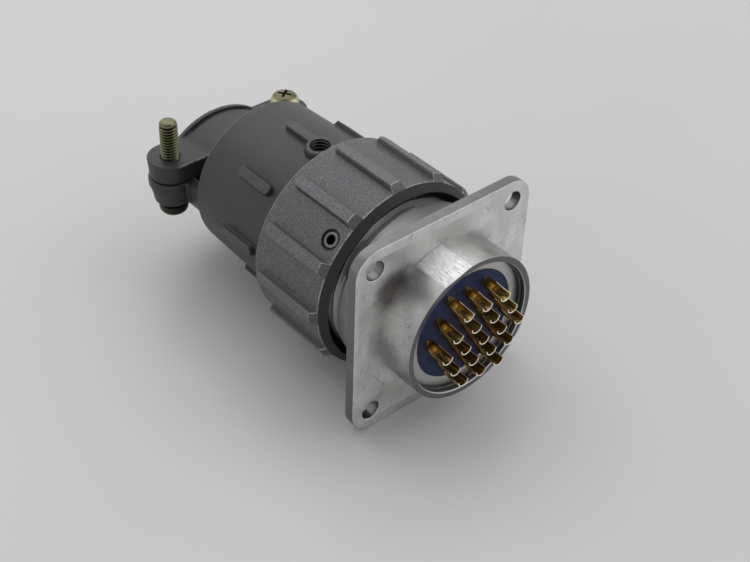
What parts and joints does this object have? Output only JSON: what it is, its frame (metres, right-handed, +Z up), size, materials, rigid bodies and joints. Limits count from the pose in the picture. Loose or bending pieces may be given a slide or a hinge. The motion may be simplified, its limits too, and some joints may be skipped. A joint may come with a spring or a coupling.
{
  "type": "circular multi-way connector",
  "caption": "Mated pair of a square-flange panel receptacle with solder cups and a cable plug with ribbed coupling nut, backshell and saddle clamp.",
  "frame": {"origin": "middle of the flange's four holes, on the flange face that seats on the panel", "axes": "+X along the connector's axis towards the solder cups of the receptacle, +Z up, +Y to the side"},
  "size_m": [0.075, 0.038, 0.038],
  "materials": {
    "machined_shell": "bright machined",
    "cast_grey": "die-cast, grey satin coating",
    "insulator": "moulded, satin",
    "gold_contact": "gold plated",
    "silver_plate": "silver plated",
    "spring_steel": "spring steel",
    "screw_steel": "oiled black steel",
    "zinc_screw": "yellow zinc plated",
    "seal_rubber": "matt"
  },
  "bodies": {
    "receptacle": {"receptacle_shell": "machined_shell", "receptacle_insulator": "insulator", "receptacle_washer": "silver_plate", "receptacle_snap_ring": "spring_steel", "pin_contact_01": "gold_contact", "pin_contact_02": "gold_contact", "pin_contact_03": "gold_contact", "pin_contact_04": "gold_contact", "pin_contact_05": "gold_contact", "pin_contact_06": "gold_contact", "pin_contact_07": "gold_contact", "pin_contact_08": "gold_contact", "pin_contact_09": "gold_contact", "pin_contact_10": "gold_contact", "pin_contact_11": "gold_contact", "pin_contact_12": "gold_contact", "pin_contact_13": "gold_contact", "pin_contact_14": "gold_contact", "pin_contact_15": "gold_contact", "pin_contact_16": "gold_contact", "pin_contact_17": "gold_contact", "pin_contact_18": "gold_contact", "pin_contact_19": "gold_contact"},
    "plug": {"plug_shell": "machined_shell", "plug_insulator": "insulator", "plug_washer": "silver_plate", "plug_snap_ring": "spring_steel", "mating_seal": "seal_rubber", "backshell": "cast_grey", "socket_contact_01": "gold_contact", "socket_contact_02": "gold_contact", "socket_contact_03": "gold_contact", "socket_contact_04": "gold_contact", "socket_contact_05": "gold_contact", "socket_contact_06": "gold_contact", "socket_contact_07": "gold_contact", "socket_contact_08": "gold_contact", "socket_contact_09": "gold_contact", "socket_contact_10": "gold_contact", "socket_contact_11": "gold_contact", "socket_contact_12": "gold_contact", "socket_contact_13": "gold_contact", "socket_contact_14": "gold_contact", "socket_contact_15": "gold_contact", "socket_contact_16": "gold_contact", "socket_contact_17": "gold_contact", "socket_contact_18": "gold_contact", "socket_contact_19": "gold_contact"},
    "nut": {"coupling_nut": "cast_grey"},
    "set_screw": {"nut_set_screw": "screw_steel"},
    "saddle": {"clamp_saddle": "cast_grey"},
    "left_screw": {"clamp_screw_left": "zinc_screw", "spring_washer_left": "zinc_screw"},
    "right_screw": {"clamp_screw_right": "zinc_screw", "spring_washer_right": "zinc_screw"}
  },
  "joints": [
    {"name": "plug_slide", "type": "slide", "parent": "receptacle", "child": "plug", "axis": [-1, 0, 0], "range_m": [0, 0.0081]},
    {"name": "nut_turn", "type": "hinge", "parent": "plug", "child": "nut", "pos_m": [-0.02, 0, 0], "axis": [-1, 0, 0], "range_deg": [0, 1930]},
    {"name": "set_screw_turn", "type": "hinge", "parent": "nut", "child": "set_screw", "pos_m": [-0.0136, -0.01207, 0.01125], "axis": [0, -0.7314, 0.682], "range_deg": [-180, 180]},
    {"name": "clamp_lift", "type": "slide", "parent": "plug", "child": "saddle", "axis": [0, 0, 1], "range_m": [0, 0.00721]},
    {"name": "right_screw_turn", "type": "hinge", "parent": "saddle", "child": "right_screw", "pos_m": [-0.0601, 0.0134, 0], "axis": [0, 0, 1], "range_deg": [0, 4320]},
    {"name": "left_screw_turn", "type": "hinge", "parent": "plug", "child": "left_screw", "pos_m": [-0.0601, -0.0134, 0], "axis": [0, 0, -1], "range_deg": [0, 4321]}
  ],
  "couplings": [
    {"joint": "plug_slide", "follows": "nut_turn", "m_per_rad": 0.00023873},
    {"joint": "clamp_lift", "follows": "right_screw_turn", "m_per_rad": 0.000095493},
    {"joint": "left_screw_turn", "follows": "right_screw_turn", "ratio": 1}
  ]
}
